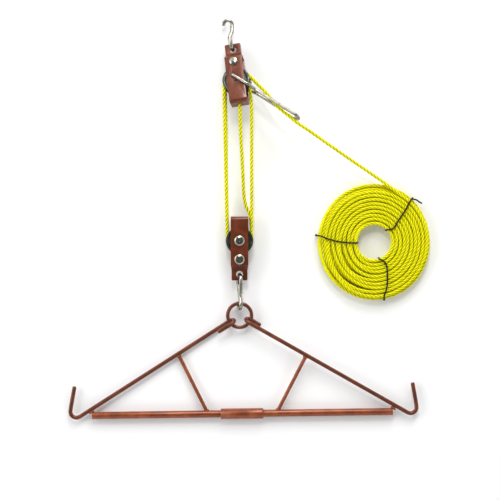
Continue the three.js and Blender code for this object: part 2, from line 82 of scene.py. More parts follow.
HOOK_TURN = 13.0
HOOK_LOOP_RADIUS = 10.4
HOOK_END_LENGTH = 23.0
RING_CENTRE = Vector((-6.7, -167.1, 12.2))
RING_RADIUS = 20.75
RING_WIRE_RADIUS = 3.15
EYE_RADIUS = 7.8
EYE_TILT = 20.0
ARM_Z = 9.3
HOOK_BEND_RADIUS = 10.6
HOOK_LEAN = 9.7
TUBE_LEFT = Vector((-263.0, -341.3, ARM_Z))
TUBE_RIGHT = Vector((259.5, -334.3, ARM_Z))
TUBE_AXIS = (TUBE_RIGHT - TUBE_LEFT).normalized()
SLEEVE_LEFT_X = -39.6
SLEEVE_LENGTH = 74.5
SLEEVE_RADIUS = 9.25
SLEEVE_BORE = 7.2
SIDES = {
    "left": dict(sign=-1, eye=217.0, bend=(-290.4, -334.4), tail=26.5, brace=(-113.9, -61.4), point=43.0),
    "right": dict(sign=1, eye=-29.5, bend=(290.4, -326.6), tail=20.0, brace=(109.0, 57.5), point=42.0),
}

COIL_CENTRE = Vector((226.7, -39.5, 0))
COIL_INNER_TURN = 32.7
COIL_OUTER_TURN = 96.6
COIL_TOP_TURN_Z = 17.2
COIL_DROP = 5.9
COIL_ENTRY = 60.0
TURN_POINTS = 36
TIE_RADIUS = 1.35


def rad(degrees):
    return math.radians(degrees)


UPPER = (Matrix.Translation(UPPER_AXLE) @ Matrix.Rotation(rad(UPPER_TILT), 4, "Z")
         @ Matrix.Rotation(rad(-UPPER_YAW), 4, "Y") @ Matrix.Rotation(rad(-UPPER_PITCH), 4, "X"))
LOWER = Matrix.Translation(LOWER_AXLE) @ Matrix.Rotation(math.pi, 4, "Z")


def on_upper(x, y, z):
    return UPPER @ Vector((x, y, z))


def on_lower(x, y, z):
    return LOWER @ Vector((x, y, z))


# ---- curves ----

def arc(centre, a, b, radius, start, end, count):
    """Points round part of a circle in the plane of a and b; angles in degrees."""
    angles = [rad(start + (end - start) * i / count) for i in range(count + 1)]
    return [Vector(centre) + radius * (math.cos(t) * Vector(a) + math.sin(t) * Vector(b)) for t in angles]


def smooth(points, step):
    """A centripetal Catmull-Rom curve through the points, resampled at even steps."""
    p = np.array([tuple(q) for q in points], dtype=float)
    p = np.vstack([2 * p[0] - p[1], p, 2 * p[-1] - p[-2]])
    knots = np.concatenate([[0], np.cumsum(np.linalg.norm(np.diff(p, axis=0), axis=1) ** 0.5)])
    out = []
    for i in range(1, len(p) - 2):
        t0, t1, t2, t3 = knots[i - 1:i + 3]
        t = np.linspace(t1, t2, 16, endpoint=False)[:, None]
        a1 = (t1 - t) / (t1 - t0) * p[i - 1] + (t - t0) / (t1 - t0) * p[i]
        a2 = (t2 - t) / (t2 - t1) * p[i] + (t - t1) / (t2 - t1) * p[i + 1]
        a3 = (t3 - t) / (t3 - t2) * p[i + 1] + (t - t2) / (t3 - t2) * p[i + 2]
        b1 = (t2 - t) / (t2 - t0) * a1 + (t - t0) / (t2 - t0) * a2
        b2 = (t3 - t) / (t3 - t1) * a2 + (t - t1) / (t3 - t1) * a3
        out.append((t2 - t) / (t2 - t1) * b1 + (t - t1) / (t2 - t1) * b2)
    return resample(np.vstack([*out, p[-2:-1]]), step)


def resample(p, step):
    along = np.concatenate([[0], np.cumsum(np.linalg.norm(np.diff(p, axis=0), axis=1))])
    count = max(2, int(round(along[-1] / step)) + 1)
    at = np.linspace(0, along[-1], count)
    return np.stack([np.interp(at, along, p[:, k]) for k in range(3)], axis=1)


def frames_along(p):
    """Tangent, side and other side at each point, carried along without twisting."""
    tangent = np.gradient(p, axis=0)
    tangent /= np.linalg.norm(tangent, axis=1)[:, None]
    side = np.zeros_like(p)
    start = np.cross(tangent[0], (0.31, 0.17, 0.93))
    side[0] = start / np.linalg.norm(start)
    for i in range(1, len(p)):
        carried = side[i - 1] - tangent[i] * np.dot(side[i - 1], tangent[i])
        side[i] = carried / np.linalg.norm(carried)
    return tangent, side, np.cross(tangent, side)


# ---- meshes ----

def object_of(name, bm, material, smooth_angle=40):
    """A new object, in metres, from a bmesh in millimetres."""
    bmesh.ops.recalc_face_normals(bm, faces=bm.faces)
    bmesh.ops.scale(bm, vec=(MM, MM, MM), verts=bm.verts)
    mesh = bpy.data.meshes.new(name)
    bm.to_mesh(mesh)
    bm.free()
    mesh.polygons.foreach_set("use_smooth", [True] * len(mesh.polygons))
    mesh.set_sharp_from_angle(angle=rad(smooth_angle))
    mesh.materials.append(material)
    obj = bpy.data.objects.new(name, mesh)
    bpy.context.scene.collection.objects.link(obj)
    return obj


def skin(bm, rings, closed=False):
    """Quads between rings of as many vertices each."""
    pairs = list(zip(rings, rings[1:])) + ([(rings[-1], rings[0])] if closed else [])
    for low, high in pairs:
        count = len(low)
        for i in range(count):
            j = (i + 1) % count
            bm.faces.new((low[i], low[j], high[j], high[i]))


def hoop(bm, place, radius, count, sides, wire_at):
    """Rings of vertices round a hoop in its own XY plane. wire_at(angle) is the wire's radius there."""
    rings = []
    for i in range(count):
        t = 2 * math.pi * i / count
        wire = wire_at(t)
        out = Vector((math.cos(t), math.sin(t), 0))
        rings.append([
            bm.verts.new(place @ (out * (radius + wire * math.cos(a)) + Vector((0, 0, wire * math.sin(a)))))
            for a in np.linspace(0, 2 * math.pi, sides, endpoint=False)])
    return rings


def rod(name, path, radius, material, sides=20, round_end=0.6, swell=None):
    """A bar swept along path with rounded ends. swell(s) scales the radius along it."""
    p = np.asarray(path, dtype=float)
    tangent, side, other = frames_along(p)
    bm = bmesh.new()
    turn = np.linspace(0, 2 * math.pi, sides, endpoint=False)

    def ring(at, i, size):
        return [bm.verts.new(at + size * (math.cos(t) * side[i] + math.sin(t) * other[i])) for t in turn]

    def cap_ring(end, inward, slope):
        return ring(p[end] + inward * reach * (1 - math.sin(slope)), end, radius * math.cos(slope))

    reach = radius * round_end
    slopes = [rad(a) for a in (75, 50, 25)]
    rings = [cap_ring(0, tangent[0], slope) for slope in slopes]
    for i in range(1, len(p) - 1):
        if min(np.linalg.norm(p[i] - p[0]), np.linalg.norm(p[i] - p[-1])) > reach:
            scale = swell(i / (len(p) - 1)) if swell else 1
            rings.append(ring(p[i], i, radius * scale))
    rings += [cap_ring(-1, -tangent[-1], slope) for slope in reversed(slopes)]
    skin(bm, rings)
    bm.faces.new(rings[0])
    bm.faces.new(rings[-1])
    return object_of(name, bm, material, 60)


def turned(name, profile, material, place, segments=72, smooth_angle=35):
    """A piece turned about Z from a closed (radius, z) profile, put in place by a matrix."""
    bm = bmesh.new()
    rings = []
    for k in range(segments):
        c, s = math.cos(2 * math.pi * k / segments), math.sin(2 * math.pi * k / segments)
        rings.append([bm.verts.new(place @ Vector((r * c, r * s, z))) for r, z in profile])
    skin(bm, rings, closed=True)
    bmesh.ops.remove_doubles(bm, verts=bm.verts, dist=1e-4)
    return object_of(name, bm, material, smooth_angle)


def eased(name, node, material, width):
    """The CAD node's own shape with its edges rounded."""
    bm = bmesh.new()
    bm.from_mesh(bpy.data.objects[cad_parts[node].name].data)
    bmesh.ops.scale(bm, vec=(1 / MM, 1 / MM, 1 / MM), verts=bm.verts)
    bmesh.ops.remove_doubles(bm, verts=bm.verts, dist=2e-3)
    bmesh.ops.dissolve_limit(bm, angle_limit=rad(1.5), verts=bm.verts, edges=bm.edges)
    sharp = [e for e in bm.edges if len(e.link_faces) == 2 and e.calc_face_angle(0) > rad(38)]
    bmesh.ops.bevel(bm, geom=sharp, offset=width, segments=2, profile=0.6, affect="EDGES",
                    clamp_overlap=True)
    bmesh.ops.triangulate(bm, faces=[f for f in bm.faces if len(f.verts) > 4])
    return object_of(name, bm, material)


def bead(name, path, radius, material, seed):
    """A weld bead: an uneven rod with overlapping ripples."""
    def swell(s):
        return 1 + 0.18 * math.sin(s * 40) + 0.2 * noise.noise(Vector((seed, s * 9, 0)))
    return rod(name, smooth(path, 0.5), radius, material, sides=12, round_end=0.9, swell=swell)


# ---- materials ----

class Nodes:
    """A material's nodes, made and linked by name."""

    def __init__(self, name):
        self.material = bpy.data.materials.new(name)
        self.material.use_nodes = True
        self.tree = self.material.node_tree
        self.shader = self.tree.nodes["Principled BSDF"]

    def add(self, kind, links=None, **values):
        node = self.tree.nodes.new(kind)
        for key, value in values.items():
            if hasattr(node, key):
                setattr(node, key, value)
            else:
                node.inputs[key.replace("_", " ")].default_value = value
        for socket, source in (links or {}).items():
            self.tree.links.new(source, node.inputs[socket])
        return node

    def set(self, **values):
        for key, value in values.items():
            self.shader.inputs[key.replace("_", " ")].default_value = value

    def link(self, source, socket):
        self.tree.links.new(source, self.shader.inputs[socket])

    def ramp(self, source, stops):
        node = self.add("ShaderNodeValToRGB", {"Fac": source})
        elements = node.color_ramp.elements
        while len(elements) < len(stops):
            elements.new(0.5)
        for element, (position, colour) in zip(elements, stops):
            element.position = position
            element.color = (*colour, 1)
        return node.outputs["Color"]

    def mix(self, first, second, factor=1.0, blend="MULTIPLY"):
        """Two colours mixed. second and factor may be a socket or a value."""
        node = self.add("ShaderNodeMix", data_type="RGBA", blend_type=blend)
        factor_socket, first_socket, second_socket = (node.inputs[i] for i in (0, 6, 7))
        self.tree.links.new(first, first_socket)
        for socket, given in ((factor_socket, factor), (second_socket, second)):
            if isinstance(given, bpy.types.NodeSocket):
                self.tree.links.new(given, socket)
            else:
                socket.default_value = given
        return node.outputs[2]

    def bump(self, source, strength, distance, below=None):
        links = {"Height": source}
        if below:
            links["Normal"] = below
        return self.add("ShaderNodeBump", links, Strength=strength, Distance=distance).outputs["Normal"]


def srgb(*channels):
    """Linear values of a colour given as 0 to 255 sRGB."""
    parts = [c / 255 for c in channels]
    return tuple(c / 12.92 if c <= 0.04045 else ((c + 0.055) / 1.055) ** 2.4 for c in parts)


def grey(value):
    return (value, value, value)


def place_of(n):
    return n.add("ShaderNodeTexCoord").outputs["Object"]


def paint_material(name, tones):
    """Copper-brown baked paint in three tones, dark to light: slightly orange-peeled, in patches."""
    n = Nodes(name)
    place = place_of(n)
    patches = n.add("ShaderNodeTexNoise", {"Vector": place}, Scale=55, Detail=5, Roughness=0.6)
    peel = n.add("ShaderNodeTexNoise", {"Vector": place}, Scale=1100, Detail=2, Roughness=0.5)
    chips = n.add("ShaderNodeTexNoise", {"Vector": place}, Scale=420, Detail=6, Roughness=0.7)
    dark, middle, light = (srgb(*tone) for tone in tones)
    colour = n.ramp(patches.outputs["Fac"], [(0.3, dark), (0.5, middle), (0.7, light)])
    worn = n.ramp(chips.outputs["Fac"], [(0.7, grey(0)), (0.76, grey(1))])
    n.link(n.mix(colour, (*srgb(78, 40, 26), 1), worn, "MIX"), "Base Color")
    n.link(n.ramp(patches.outputs["Fac"], [(0.3, grey(0.3)), (0.7, grey(0.42))]), "Roughness")
    n.set(Metallic=0.3, Specular_IOR_Level=0.5, Coat_Weight=0.25, Coat_Roughness=0.14)
    coarse = n.bump(patches.outputs["Fac"], 0.25, 0.0006)
    n.link(n.bump(peel.outputs["Fac"], 0.3, 0.0002, coarse), "Normal")
    return n.material


def zinc_material():
    """Bright zinc plate with faint drawing marks and duller clouds."""
    n = Nodes("bright_zinc")
    place = place_of(n)
    clouds = n.add("ShaderNodeTexNoise", {"Vector": place}, Scale=130, Detail=4, Roughness=0.6)
    fine = n.add("ShaderNodeTexNoise", {"Vector": place}, Scale=1500, Detail=3, Roughness=0.6)
    n.link(n.ramp(clouds.outputs["Fac"], [
        (0.3, srgb(132, 130, 118)), (0.55, srgb(166, 164, 152)), (0.75, srgb(196, 193, 184))]), "Base Color")
    n.link(n.ramp(clouds.outputs["Fac"], [(0.3, grey(0.26)), (0.7, grey(0.14))]), "Roughness")
    n.set(Metallic=1.0)
    n.link(n.bump(fine.outputs["Fac"], 0.18, 0.0001), "Normal")
    return n.material


def steel_material():
    """Dark, oiled, turned steel of the sheaves, rubbed bright in places."""
    n = Nodes("dark_steel")
    place = place_of(n)
    clouds = n.add("ShaderNodeTexNoise", {"Vector": place}, Scale=160, Detail=5, Roughness=0.65)
    fine = n.add("ShaderNodeTexNoise", {"Vector": place}, Scale=1800, Detail=2, Roughness=0.5)
    n.link(n.ramp(clouds.outputs["Fac"], [
        (0.3, srgb(48, 53, 46)), (0.55, srgb(78, 84, 76)), (0.75, srgb(118, 122, 114))]), "Base Color")
    n.link(n.ramp(clouds.outputs["Fac"], [(0.3, grey(0.48)), (0.7, grey(0.3))]), "Roughness")
    n.set(Metallic=0.85)
    n.link(n.bump(fine.outputs["Fac"], 0.2, 0.0001), "Normal")
    return n.material


def rope_material(name, groove, flank):
    """Laid polypropylene: glossy yellow yarns, with painted shade darkening them where the strands meet."""
    n = Nodes(name)
    uv = n.add("ShaderNodeUVMap", uv_map="lay").outputs["UV"]
    yarns = n.add("ShaderNodeTexWave", {"Vector": uv}, wave_type="BANDS", bands_direction="DIAGONAL",
                  Scale=3.4, Distortion=1.2, Detail=2, Detail_Scale=1.5)
    outward = n.add("ShaderNodeAttribute", attribute_name="outward", attribute_type="GEOMETRY").outputs["Fac"]
    clouds = n.add("ShaderNodeTexNoise", {"Vector": place_of(n)}, Scale=90, Detail=3, Roughness=0.5)
    top = n.ramp(clouds.outputs["Fac"], [(0.3, srgb(246, 241, 2)), (0.7, srgb(254, 251, 16))])
    fibre = n.ramp(yarns.outputs["Fac"], [(0.0, grey(0.86)), (0.45, grey(1))])
    # painted shade: the colour goes from the flank colour to the groove colour on the strand faces that turn
    # in towards the rope's axis, where the strands meet
    painted_strand_shade = n.ramp(outward, [(0.4, srgb(*groove)), (0.64, srgb(*flank)), (0.76, grey(1))])
    n.link(n.mix(n.mix(top, painted_strand_shade), fibre), "Base Color")
    n.set(Roughness=0.5, Specular_IOR_Level=0.12)
    n.link(n.bump(yarns.outputs["Fac"], 0.5, 0.0003), "Normal")
    return n.material


def tie_material():
    """Black plastic-coated wire with small scuffs."""
    n = Nodes("black_tie")
    scuffs = n.add("ShaderNodeTexNoise", {"Vector": place_of(n)}, Scale=600, Detail=4, Roughness=0.6)
    n.link(n.ramp(scuffs.outputs["Fac"], [(0.4, srgb(10, 10, 11)), (0.75, srgb(30, 30, 32))]), "Base Color")
    n.link(n.ramp(scuffs.outputs["Fac"], [(0.4, grey(0.35)), (0.7, grey(0.55))]), "Roughness")
    n.set(Specular_IOR_Level=0.25)
    n.link(n.bump(scuffs.outputs["Fac"], 0.2, 0.0002), "Normal")
    return n.material


PAINT = paint_material("copper_paint", [(82, 35, 13), (102, 44, 17), (122, 58, 28)])
# a lighter copy of the copper paint for the spreaders, braces, sleeve and welds: partly a lighter paint tone,
# partly painted highlight for the light these bars catch
BAR_PAINT = paint_material("bright_copper_paint", [(112, 52, 22), (138, 66, 30), (158, 86, 48)])
ZINC = zinc_material()
STEEL = steel_material()
# the two colours given are the painted shade in the grooves between the strands and on their flanks
ROPE = rope_material("yellow_rope", (58, 50, 0), (206, 200, 80))
# the coil's copy of the same rope: only its painted shade between the strands is lighter, so the coil reads
# brighter than the spans
COIL_ROPE = rope_material("bright_yellow_rope", (136, 128, 0), (240, 236, 160))
TIE = tie_material()


def belongs(obj, body, *nodes):
    """obj rides on a body and stands for these CAD nodes, which are hidden."""
    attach(obj, body)
    if nodes:
        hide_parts(*nodes)
    return obj


# ---- camera ----

CAMERA_DISTANCE = 2.5
SEEN_WIDTH = 0.8685
SEEN_CENTRE = (0.0113, -0.0534)
KIT_MID_HEIGHT = 0.012


def make_camera():
    data = bpy.data.cameras.new("camera")
    data.sensor_width = 36
    data.lens = data.sensor_width * CAMERA_DISTANCE / SEEN_WIDTH
    camera = bpy.data.objects.new("camera", data)
    camera.location = (*SEEN_CENTRE, CAMERA_DISTANCE + KIT_MID_HEIGHT)
    bpy.context.scene.collection.objects.link(camera)
    bpy.context.scene.camera = camera


make_camera()


# ---- the rope, one length from its knot to its free end ----

def coil_turns():
    """Three layers of turns: inwards on top, outwards in the middle, inwards again on the surface.

    Each turn is a ring that steps over to the next one, and a layer's last turn drops to the next layer.
    """
    layers = [(92.6, COIL_INNER_TURN, 10), (COIL_INNER_TURN, COIL_OUTER_TURN, 11), (93.4, 35.9, 10)]
    points = []
    angle = COIL_ENTRY
    for layer, (start, end, turns) in enumerate(layers):
        pitch = (end - start) / (turns - 1)
        for i in range(turns * TURN_POINTS):
            turn_number, part = divmod(i / TURN_POINTS, 1)
            steps_at = 0.42 + 0.08 * math.sin(1.9 * turn_number + layer)
            last = turn_number == turns - 1
            step = 0 if last else smooth_step((part - steps_at) / 0.25)
            drop = smooth_step((part - 0.75) / 0.25) if last and layer < 2 else 0
            radius = start + pitch * (turn_number + step)
            if drop:
                radius += (layers[layer + 1][0] - end) * drop
            turn = rad(angle)
            sway = 0.4 * math.sin(3 * turn + 2.3 * turn_number)
            out_of_round = 1 - 0.018 * math.cos(2 * turn) * radius / COIL_OUTER_TURN
            here = (radius + sway) * out_of_round * Vector((math.cos(turn), math.sin(turn), 0))
            height = COIL_TOP_TURN_Z - COIL_DROP * (layer + drop)
            points.append(COIL_CENTRE + here + Vector((0, 0, height)))
            angle -= 360 / TURN_POINTS
    return points


def smooth_step(x):
    x = min(1, max(0, x))
    return x * x * (3 - 2 * x)


def rope_sections():
    """The rope's route, as named lengths that each end where the next begins."""
    def wrap(place, z, start, end):
        centre = place @ Vector((0, 0, z))
        x, y = place.to_3x3() @ Vector((1, 0, 0)), place.to_3x3() @ Vector((0, 1, 0))
        return arc(centre, x, y, PITCH_RADIUS, start, end, 24)

    def left_route(z, top):
        clear = on_upper(-23.2, -12.5, z)
        low = on_lower(PITCH_RADIUS, 0, z)
        return smooth([low, clear.lerp(low, 0.12), clear, top], 2)

    rear_low = wrap(LOWER, -SHEAVE_Z, 180, 0)
    front_low = wrap(LOWER, SHEAVE_Z, 180, 0)
    rear_up = wrap(UPPER, -SHEAVE_Z, 180 - UPPER_TILT, BRIDGED_ANGLE)
    front_up = wrap(UPPER, SHEAVE_Z, 180 - UPPER_TILT, HAUL_ANGLE)
    becket = [
        on_upper(0, KNOT_Y, 0),
        on_upper(0, BRIDGE_Y - 1, 0),
        Vector((-5.6, 180, 41.4)),
        Vector((-4.8, 150, 37)),
        Vector((-2.6, 110, 28.4)),
        Vector((-0.8, 72, 20.4)),
        Vector((0.6, 44, 15.6)),
        Vector((2.4, 31, 13.6)),
        Vector((6, 19, 12.8)),
        Vector((11, 9.4, 12.6)),
        Vector((12.6, 0, 12.2)),
        Vector((13.9, -18, 11.8)),
        rear_low[0],
    ]
    bridged = [
        rear_up[-1],
        on_upper(19.5, -30, -SHEAVE_Z),
        on_upper(19.3, BRIDGE_Y, -SHEAVE_Z + 0.4),
        Vector((14, 180, 36.8)),
        front_low[0],
    ]
    turns = coil_turns()
    hauling = [
        front_up[-1],
        on_upper(24.6, 2.3, SHEAVE_Z),
        on_upper(30.5, -5.5, 3.6),
        on_upper(37, -14.2, 0.7),
        on_upper(44, -23.8, 0),
        on_upper(50.6, -33.4, 0),
        on_upper(57.2, -45.6, 0),
        on_upper(65.2, -59.4, -0.5),
        on_upper(77.5, -73.4, -0.5),
        on_upper(90.4, -88.9, -0.5),
        Vector((106.8, 153.5, 58.5)),
        Vector((130, 138.3, 50)),
        Vector((155, 121.8, 41.2)),
        Vector((180, 105.4, 33)),
        Vector((210, 85.8, 24.6)),
        Vector((239, 66.6, 18.8)),
        turns[0],
    ]
    return [
        ("span_1", smooth(becket, 2)),
        ("lower_rear_wrap", np.array(rear_low)),
        ("span_2", left_route(-SHEAVE_Z, rear_up[0])),
        ("upper_rear_wrap", np.array(rear_up)),
        ("span_3", smooth(bridged, 2)),
        ("lower_front_wrap", np.array(front_low)),
        ("span_4", left_route(SHEAVE_Z, front_up[0])),
        ("upper_front_wrap", np.array(front_up)),
        ("hauling_rope", smooth(hauling, 2)),
        ("rope_coil", np.array([tuple(p) for p in turns])),
    ]


def strands_along(p, step):
    """Ring vertices of the three laid strands along the whole rope: [strand][ring][side]."""
    tangent, side, other = frames_along(p)
    offset = ROPE_RADIUS - STRAND_RADIUS
    phase = 2 * math.pi * np.arange(len(p)) * step / ROPE_LAY
    slope = 2 * math.pi * offset / ROPE_LAY
    strands = []
    for k in range(3):
        angle = phase + 2 * math.pi * k / 3
        out = np.cos(angle)[:, None] * side + np.sin(angle)[:, None] * other
        round_it = np.cos(angle)[:, None] * other - np.sin(angle)[:, None] * side
        forward = tangent + slope * round_it
        forward /= np.linalg.norm(forward, axis=1)[:, None]
        across = np.cross(forward, out)
        turn = np.linspace(0, 2 * math.pi, STRAND_SIDES, endpoint=False)[None, :, None]
        section = np.cos(turn) * out[:, None, :] + np.sin(turn) * across[:, None, :]
        strands.append((p + offset * out)[:, None, :] + STRAND_RADIUS * section)
    return strands


def rope_piece(name, strands, first, last, step, material=ROPE):
    """The rings from first to last as one mesh, with the lay's UV map and how far out each point is, which
    sets the rope's painted shade where the strands meet.
    """
    verts, faces, uvs, outward = [], [], [], []
    sides = STRAND_SIDES
    for rings in strands:
        base = len(verts)
        part = rings[first:last + 1]
        verts += [tuple(v * MM) for ring in part for v in ring]
        turn = [2 * math.pi * j / sides for j in range(sides)]
        outward += [0.5 + 0.5 * math.cos(t) for _ in part for t in turn]
        for i in range(len(part) - 1):
            low, high = base + i * sides, base + (i + 1) * sides
            u_low, u_high = (first + i) * step / 3, (first + i + 1) * step / 3
            for j in range(sides):
                k = (j + 1) % sides
                v_low, v_high = j * 0.6, (j + 1) * 0.6
                faces.append((low + j, low + k, high + k, high + j))
                uvs += [(u_low, v_low), (u_low, v_high), (u_high, v_high), (u_high, v_low)]
        for i, order in ((0, -1), (len(part) - 1, 1)):
            faces.append(tuple(base + i * sides + j for j in range(sides))[::order])
            uvs += [(0, 0)] * sides
    mesh = bpy.data.meshes.new(name)
    mesh.from_pydata(verts, [], faces)
    layer = mesh.uv_layers.new(name="lay")
    layer.data.foreach_set("uv", [c for uv in uvs for c in uv])
    mesh.attributes.new("outward", "FLOAT", "POINT").data.foreach_set("value", outward)
    mesh.polygons.foreach_set("use_smooth", [True] * len(mesh.polygons))
    mesh.materials.append(material)
    mesh.validate()
    obj = bpy.data.objects.new(name, mesh)
    bpy.context.scene.collection.objects.link(obj)
    return obj


def make_rope():
    """One laid rope, cut where its lengths belong to different bodies."""
    sections = rope_sections()
    whole = np.vstack([sections[0][1]] + [part[1:] for _, part in sections[1:]])
    p = resample(whole, ROPE_STEP)
    step = float(np.linalg.norm(np.diff(p, axis=0), axis=1).mean())
    lengths = [np.linalg.norm(np.diff(part, axis=0), axis=1).sum() for _, part in sections]
    ends = np.concatenate([[0], np.cumsum(lengths)])
    marks = [int(round(end / sum(lengths) * (len(p) - 1))) for end in ends]
    strands = strands_along(p, step)
    print("rope length, m:", round(sum(lengths) * MM, 3))
    pieces = {}
    for (name, _), first, last in zip(sections[:-2], marks, marks[1:]):
        pieces[name] = rope_piece(f"rope_{name}", strands, first, last, step)
    free = rope_piece("rope_free", strands, marks[-3], marks[-1], step, COIL_ROPE)
    path = p[marks[-3]:marks[-1] + 1:3] * MM
    return pieces, free, path, sum(lengths[-2:]) * MM


rope_pieces, free_rope, free_path, free_length = make_rope()


# ---- ties round the coil ----

def polar(angle, radius, z):
    """A point at this angle and radius from the coil's centre."""
    return COIL_CENTRE + Vector((radius * math.cos(rad(angle)), radius * math.sin(rad(angle)), z))


def make_tie(name, top, tail):
    """A loop round the coil's section: out over the top by (angle, radius) points, back under it."""
    inner, outer = top[0][0], top[-1][0]
    over = [polar(angle, radius, COIL_TOP_TURN_Z + ROPE_RADIUS + 0.9) for angle, radius in top[1:-1]]
    points = [polar(inner, 28.4, 7), polar(inner, 28.6, 15.5), polar(inner, 30.4, 20.4), *over,
              polar(outer, 95.2, 19.4), polar(outer, 101.2, 14), polar(outer, 101.8, 6),
              polar(outer, 99, 2.2), polar(outer, 94, 1.8), polar(inner, 36, 1.8),
              polar(inner, 30, 2.4), polar(inner, 28.4, 7)]
    loop = rod(f"tie_{name}", smooth(points, 1.2), TIE_RADIUS, TIE, sides=12)
    end = rod(f"tie_{name}_end", smooth([polar(*p) for p in tail], 0.8), TIE_RADIUS, TIE, sides=12)
    belongs(loop, "upper_block", f"coil_tie_{name}")
    belongs(end, "upper_block")
    return [loop, end]


ties = [
    *make_tie("left", [(183.3, 30), (182, 42), (179.5, 62), (176, 82), (173.6, 98)],
              [(173.6, 99, 18.4), (173, 101.8, 15), (174, 102.2, 11)]),
    *make_tie("upper", [(44.5, 28), (35.9, 38), (42.2, 57), (45.9, 77), (48.8, 97)],
              [(48.8, 99, 18.2), (45, 103.2, 17), (41.5, 104.6, 15.6), (38.8, 107, 14)]),
    *make_tie("lower", [(-73.2, 30), (-62.5, 42), (-69.5, 64), (-75.3, 83), (-79.8, 98)],
              [(-79.8, 99, 18.4), (-80.6, 101.8, 15), (-79.4, 102.2, 11)]),
]

belongs(free_rope, "upper_block", "hauling_rope", "rope_coil")

for side in ("upper", "lower"):
    for which in ("front", "rear"):
        wrap_name = f"{side}_{which}_wrap"
        belongs(rope_pieces[wrap_name], f"{side}_block", wrap_name)
for number in range(1, 5):
    span_name = f"span_{number}"
    span = belongs(rope_pieces[span_name], "upper_block", span_name)
    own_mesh(span)


def make_knot():
    """The becket's stopper knot: the strands tucked round each other in a ball."""
    loop_radius, strand = 3.7, 1.7
    bm = bmesh.new()
    for k in range(3):
        tilt = UPPER @ Matrix.Translation((0, KNOT_Y, 0)) @ Matrix.Rotation(rad(60 * k), 4, "Y")
        tilt = tilt @ Matrix.Rotation(rad(55), 4, "X")
        skin(bm, hoop(bm, tilt, loop_radius, 32, 10, lambda _: strand), closed=True)
    knot = object_of("becket_stopper", bm, ROPE, 60)
    value = knot.data.attributes.new("outward", "FLOAT", "POINT")
    value.data.foreach_set("value", [0.8] * len(knot.data.vertices))
    knot.data.uv_layers.new(name="lay")
    return knot


belongs(make_knot(), "upper_block", "becket_knot")


# ---- blocks ----

def sheave_profile():
    """A grooved wheel's closed (radius, z) profile, with a raised hub and a raised rim."""
    half, rim, root = 5.3, 23.8, PITCH_RADIUS - ROPE_RADIUS - 0.3
    below = [(4.3, -half), (8.6, -half), (9.2, -half + 0.4), (10.0, -half + 1.4), (18.2, -half + 1.6),
             (19.4, -half + 0.3), (20.2, -half), (23.2, -half), (rim, -half + 0.4), (rim, -half + 1.1)]
    groove = ROPE_RADIUS + 0.3
    round_groove = []
    for i in range(13):
        t = math.pi * i / 12
        round_groove.append((root + groove - groove * math.sin(t), -groove * math.cos(t)))
    above = [(r, -h) for r, h in reversed(below)]
    return below + round_groove + above


def domed_rivet(name, place, shank):
    """A rivet with a low dome in front, dimpled by its setting tool, and a flat tail behind."""
    face = LEG_OUTSIDE + 0.3
    head = 9.2
    tail = [(0.0, -face - 2.4), (6.4, -face - 2.4), (6.8, -face - 2.15), (7.0, -face - 1.7),
            (7.0, -face - 0.4), (6.8, -face), (shank, -face), (shank, face)]
    edge = [(head - 0.3, face), (head, face + 0.3)]
    dome = [(head * math.cos(rad(9 * i)), face + 0.6 + 3.0 * math.sin(rad(9 * i))) for i in range(10)]
    dimple = [(2.5, face + 3.45), (1.5, face + 2.9), (0.0, face + 2.7)]
    profile = tail + edge + dome + dimple
    return turned(name, profile, ZINC, place, 64, 50)


def make_block(side, place, body):
    """A block's strap, sheaves, axle and tie rivet."""
    strap = eased(f"{side}_strap_bar", f"{side}_strap", PAINT, 0.55)
    belongs(strap, body, f"{side}_strap")
    for which, z in (("front", SHEAVE_Z), ("rear", -SHEAVE_Z)):
        at = place @ Matrix.Translation((0, 0, z))
        sheave = turned(f"{side}_{which}_wheel", sheave_profile(), STEEL, at, 96)
        belongs(sheave, f"{side}_{which}", f"{side}_{which}_sheave")
    tie_place = place @ Matrix.Translation((0, TIE_RIVET_Y, 0))
    if side == "upper":  # set from the other side
        tie_place = tie_place @ Matrix.Rotation(math.pi, 4, "X")
    belongs(domed_rivet(f"{side}_tie_rivet_set", tie_place, 3.3), body, f"{side}_tie_rivet")
    if side == "lower":
        belongs(domed_rivet("lower_axle_set", place, 4.0), body, "lower_axle")
    else:
        end = LEG_OUTSIDE
        half_pin = [(0.0, end), (3.2, end - 0.05), (3.8, end - 0.4), (4.0, end - 1)]
        profile = [(r, -h) for r, h in half_pin] + half_pin[::-1]
        belongs(turned("upper_axle_pin", profile, PAINT, place, 48), body, "upper_axle")
    for node, material in ((f"{side}_tie_spacer", STEEL), (f"{side}_washer", ZINC)):
        repaint(node, material)


def repaint(node, material):
    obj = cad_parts[node]
    obj.data.materials.clear()
    obj.data.materials.append(material)


make_block("upper", UPPER, "upper_block")
make_block("lower", LOWER, "lower_block")


# ---- wire pieces ----

def bail_point(along, z, twist):
    """A point of the bail by how far out it is, which side, and the share of the loop's twist."""
    turn = rad(BAIL_TWIST * twist)
    heading = rad(BAIL_HEADING)
    side = z * math.sin(turn)
    return on_upper(
        BAIL_PIVOT[0] + along * math.cos(heading) - side * math.sin(heading),
        BAIL_PIVOT[1] + along * math.sin(heading) + side * math.cos(heading),
        z * math.cos(turn))


def make_bail():
    """The rope-lock bail: two pins in the strap, legs that draw in and cross over to a round end."""
    leg = [(0, 12.15, 0), (0, 15.6, 0), (1, 17.5, 0), (3.6, 18.05, 0), (16, 18.05, 0), (29, 18.05, 0),
           (33, 17, 0.15), (37, 14.4, 0.4), (40.6, 10.2, 0.7), (45, 7.4, 0.9), (50, 6.5, 1), (75, 7, 1),
           (100, 7.7, 1), (120, 8.3, 1)]
    end = [(BAIL_LENGTH + BAIL_END_RADIUS * math.sin(math.pi * i / 8),
            BAIL_END_RADIUS * math.cos(math.pi * i / 8), 1) for i in range(9)]
    back = [(along, -z, twist) for along, z, twist in reversed(leg)]
    return rod("lock_bail", smooth([bail_point(*p) for p in leg + end + back], 1.2), BAIL_RADIUS, ZINC)


